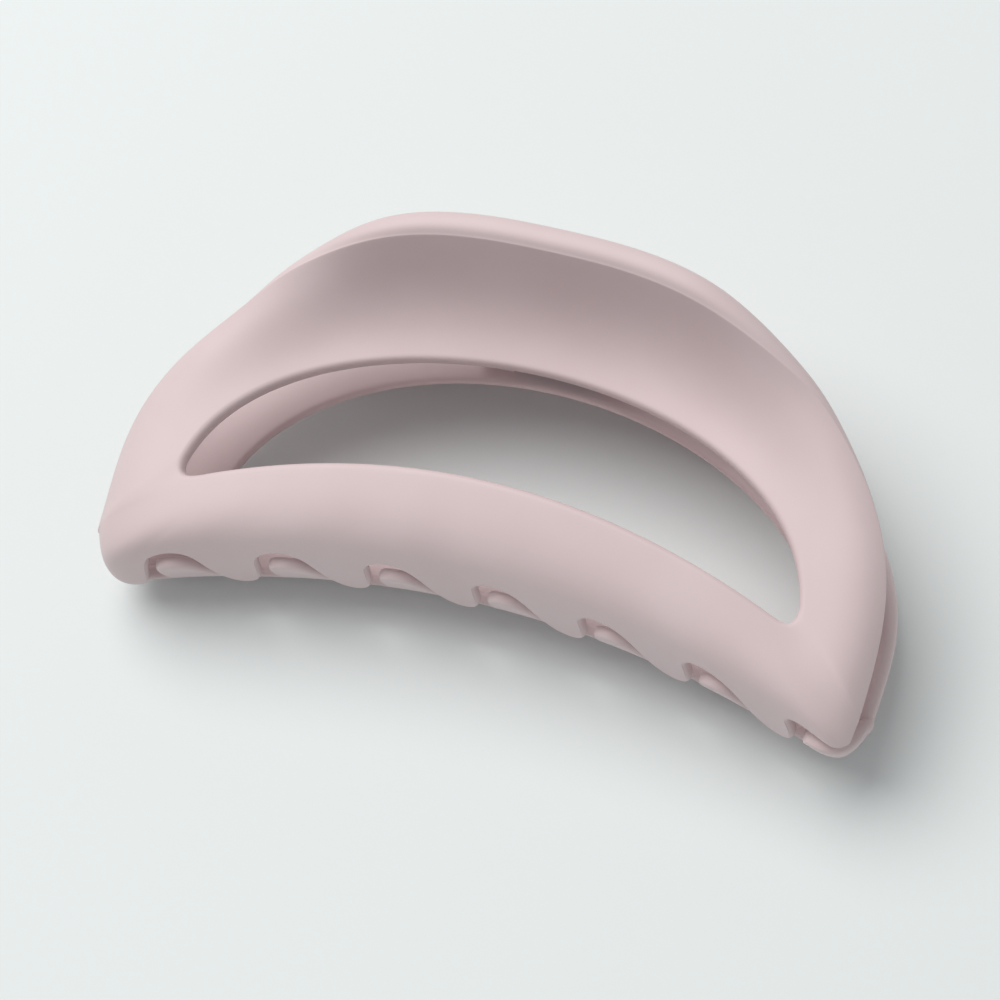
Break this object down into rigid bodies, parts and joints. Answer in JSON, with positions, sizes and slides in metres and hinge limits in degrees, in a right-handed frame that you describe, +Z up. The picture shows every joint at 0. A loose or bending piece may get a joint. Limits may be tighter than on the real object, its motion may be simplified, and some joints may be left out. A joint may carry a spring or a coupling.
{
  "type": "hair claw clip",
  "caption": "Half-moon hair claw clip: two curved plastic jaws with interlocking teeth and thumb lips, turning on a steel pin with a coil spring that closes them.",
  "frame": {"origin": "under the middle of the clip, on the surface that it lies on, when it lies shut on its back jaw", "axes": "+X along the row of teeth, +Y from the teeth to the thumb lips, +Z up"},
  "size_m": [0.1248, 0.0672, 0.0432],
  "materials": {
    "soft_touch_plastic": "soft-touch matt, dusty pink",
    "pin_steel": "ground steel rod",
    "spring_wire": "zinc-plated spring wire"
  },
  "bodies": {
    "back_half": {"back_jaw": "soft_touch_plastic", "hinge_pin": "pin_steel", "torsion_spring": "spring_wire"},
    "front_half": {"front_jaw": "soft_touch_plastic"}
  },
  "joints": [
    {"name": "jaw_hinge", "type": "hinge", "parent": "back_half", "child": "front_half", "pos_m": [0, 0.01586, 0.0196], "axis": [-1, 0, 0], "range_deg": [0, 50], "stiffness_Nm_per_rad": 0.14, "springref_deg": -34.38, "deforming": ["torsion_spring"]}
  ]
}
